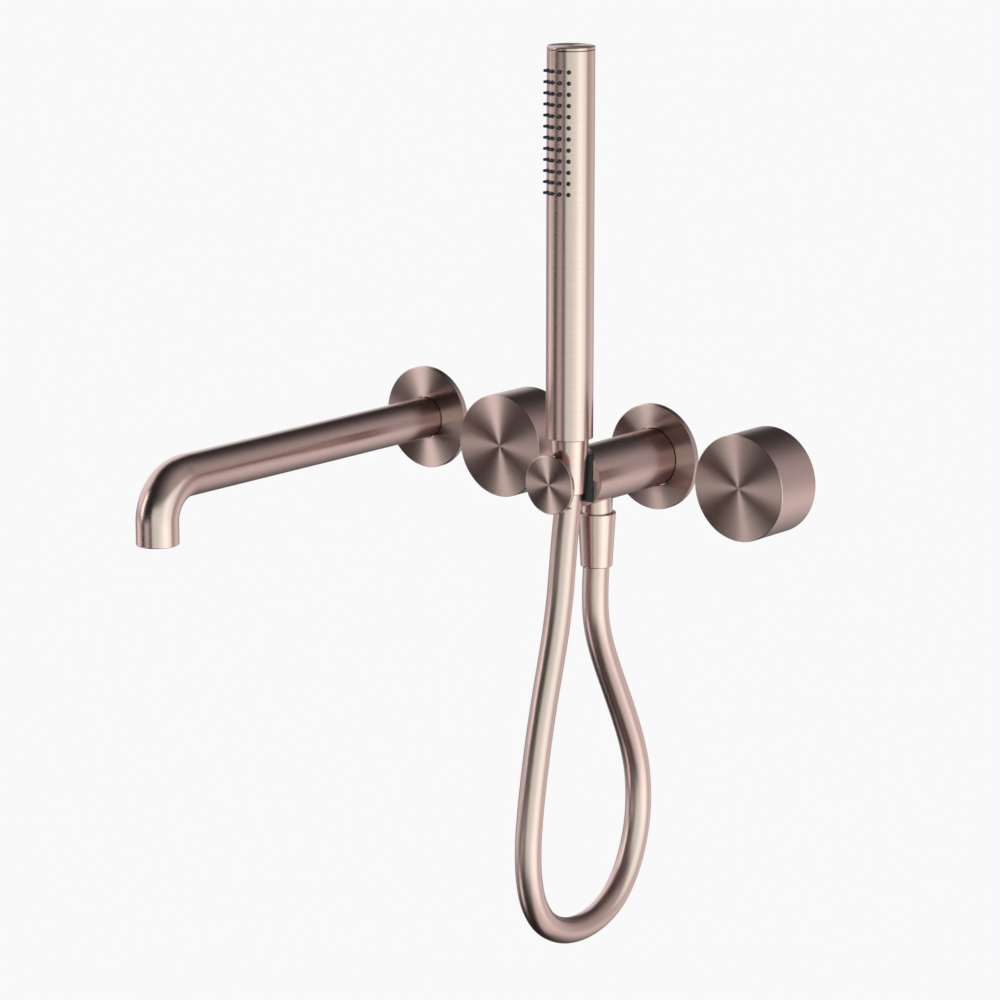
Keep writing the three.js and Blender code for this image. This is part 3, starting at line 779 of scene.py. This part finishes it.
class Sky:
    """The studio as light by direction, summed up in world nodes."""

    def __init__(self, tree):
        self.tree = tree
        coordinates = node(tree, "ShaderNodeTexCoord")
        self.direction = coordinates.outputs["Generated"]
        parts = node(tree, "ShaderNodeSeparateXYZ")
        tree.links.new(self.direction, parts.inputs[0])
        x, y, z = parts.outputs
        self.azimuth = self.math("ARCTAN2", x, self.math("MULTIPLY", y, -1))
        self.elevation = self.math("ARCSINE", z)
        self.total = None

    def math(self, operation, *values):
        made = node(self.tree, "ShaderNodeMath", operation=operation)
        for socket, value in zip(made.inputs, values):
            if isinstance(value, (int, float)):
                socket.default_value = value
            else:
                self.tree.links.new(value, socket)
        return made.outputs[0]

    def add(self, amount, strength, colour):
        tinted = node(self.tree, "ShaderNodeVectorMath", operation="SCALE")
        tinted.inputs[0].default_value = [channel * strength for channel in colour]
        self.tree.links.new(amount, tinted.inputs["Scale"])
        if self.total is None:
            self.total = tinted.outputs[0]
            return
        both = node(self.tree, "ShaderNodeVectorMath", operation="ADD")
        self.tree.links.new(self.total, both.inputs[0])
        self.tree.links.new(tinted.outputs[0], both.inputs[1])
        self.total = both.outputs[0]

    def glow(self, direction, sharpness, strength):
        """A round lobe that fades with the angle from a direction."""
        dot = node(self.tree, "ShaderNodeVectorMath", operation="DOT_PRODUCT")
        self.tree.links.new(self.direction, dot.inputs[0])
        dot.inputs[1].default_value = Vector(direction).normalized()
        power = self.math("MULTIPLY", self.math("SUBTRACT", dot.outputs["Value"], 1), sharpness)
        self.add(self.math("EXPONENT", power), strength, WHITE)

    def edge(self, angle, middle, half, soft):
        """1 within half of the middle angle and 0 past half + soft, all in degrees."""
        offset = self.math("ABSOLUTE", self.math("SUBTRACT", angle, math.radians(middle)))
        span = node(self.tree, "ShaderNodeMapRange", interpolation_type="SMOOTHSTEP")
        span.inputs["From Min"].default_value = math.radians(half)
        span.inputs["From Max"].default_value = math.radians(half + soft)
        span.inputs["To Min"].default_value = 1
        span.inputs["To Max"].default_value = 0
        self.tree.links.new(offset, span.inputs["Value"])
        return span.outputs["Result"]

    def panel(self, azimuth, elevation, half_width, half_height, soft, strength, colour=WHITE):
        """A soft-edged panel. Azimuth 0 is straight out of the wall and 90 is to the right."""
        across = self.edge(self.azimuth, azimuth, half_width, soft)
        up = self.edge(self.elevation, elevation, half_height, soft)
        self.add(self.math("MULTIPLY", across, up), strength, colour)


def light_studio():
    world = bpy.data.worlds.new("studio")
    world.use_nodes = True
    bpy.context.scene.world = world
    tree = world.node_tree
    tree.nodes.clear()
    sky = Sky(tree)
    cool = (0.60, 1.0, 0.90)
    soft = (0.80, 1.0, 0.93)
    sky.glow(UP, 0, 0.01)
    # On the right: the broad panel along the pipes, a cooler strip in it, one below and a glow above.
    sky.panel(67, -5, 48, 18, 9, 1.3, soft)
    sky.panel(86, -4, 7, 18, 12, 0.5, cool)
    sky.panel(92, -50, 26, 22, 26, 0.85)
    sky.glow((0.9, 0.1, 0.75), 5, 0.55)
    # High on the left, for the left sides of the pipes.
    sky.panel(-100, 22, 32, 15, 15, 1.2, (0.97, 0.98, 1))
    # Round the direction that the turned faces mirror to the camera, which itself stays dark: above and
    # below it for their upright fans, and to either side for the level ones.
    sky.panel(-47, 14, 4, 14, 7, 2.9, (0.88, 1, 0.96))
    sky.panel(-45, -36, 4, 9, 8, 2.2)
    sky.panel(-68, -13, 15, 3, 5, 1.05)
    sky.panel(-104, -14, 34, 12, 8, 0.42)
    sky.panel(-18, -13, 7, 3, 5, 1.0)
    sky.panel(-4, -11, 5, 3, 6, 0.8)
    # Behind the wall's plane, for the edges of the pipes.
    sky.glow((0.1, 1, -0.25), 8, 0.85)
    sky.glow((0.6, 0.75, -0.5), 8, 0.55)
    sky.glow((0.6, 0.75, 0.4), 12, 0.3)

    seen = node(tree, "ShaderNodeLightPath")
    pick = node(tree, "ShaderNodeMix", data_type="RGBA")
    tree.links.new(seen.outputs["Is Camera Ray"], pick.inputs["Factor"])
    tree.links.new(sky.total, pick.inputs["A"])
    pick.inputs["B"].default_value = BACKDROP
    background = node(tree, "ShaderNodeBackground")
    output = node(tree, "ShaderNodeOutputWorld")
    tree.links.new(pick.outputs["Result"], background.inputs["Color"])
    tree.links.new(background.outputs[0], output.inputs["Surface"])
    bpy.context.scene.view_settings.view_transform = "Standard"

    lamp = bpy.data.lights.new("ceiling", "AREA")
    lamp.size = 1.6
    lamp.energy = 14
    ceiling = bpy.data.objects.new("ceiling", lamp)
    ceiling.location = (0, -0.3, 1.6)
    ceiling.visible_glossy = False
    bpy.context.scene.collection.objects.link(ceiling)


def make_floor():
    """A pale floor below the fittings, which metal doesn't mirror."""
    side, z = 2200, -2600
    x = (SPOUT_X + ARM_X) / 2
    floor = new_object("floor", [(x - side, -side, z), (x + side, -side, z), (x + side, side, z),
                                 (x - side, side, z)], [(0, 1, 2, 3)])
    floor.data.materials.append(plain("pale_floor", (0.9, 0.9, 0.9), 0.8, Emission_Color=(1, 1, 1, 1),
                                      Emission_Strength=0.6))
    floor.visible_glossy = False


def paint_cad_nodes():
    """Gives each CAD node that still shows, deep inside, the material of its slot."""
    slots = {
        "insert": "raw_brass", "seal": "black_rubber", "turning_disc": "ceramic", "spindle": "raw_brass",
        "cartridge_nut": "raw_brass", "knob_insert": "white_plastic", "inlet": "raw_brass",
        "filter": "white_plastic", "waterway": "white_plastic", "oring": "black_rubber",
        "housing": "white_plastic", "poppet": "black_plastic",
    }
    for name, shown in frame["nodes"].items():
        if shown.hide_render:
            continue
        ending = max((end for end in slots if name.endswith(end)), key=len)
        shown.data.materials.clear()
        shown.data.materials.append(MATERIALS[slots[ending]])


add_camera()
hose, hose_line = make_hose()
ends = make_hose_end("outlet_hose", OUTLET_NUT_Z, OUTLET_OUT)
ends += make_hose_end("handset_hose", HANDSET_NUT_Z, SEAT_OUT)
make_spout()
make_mixer(1)
make_mixer(2)
make_arm()
make_handset()
paint_cad_nodes()
make_floor()
light_studio()
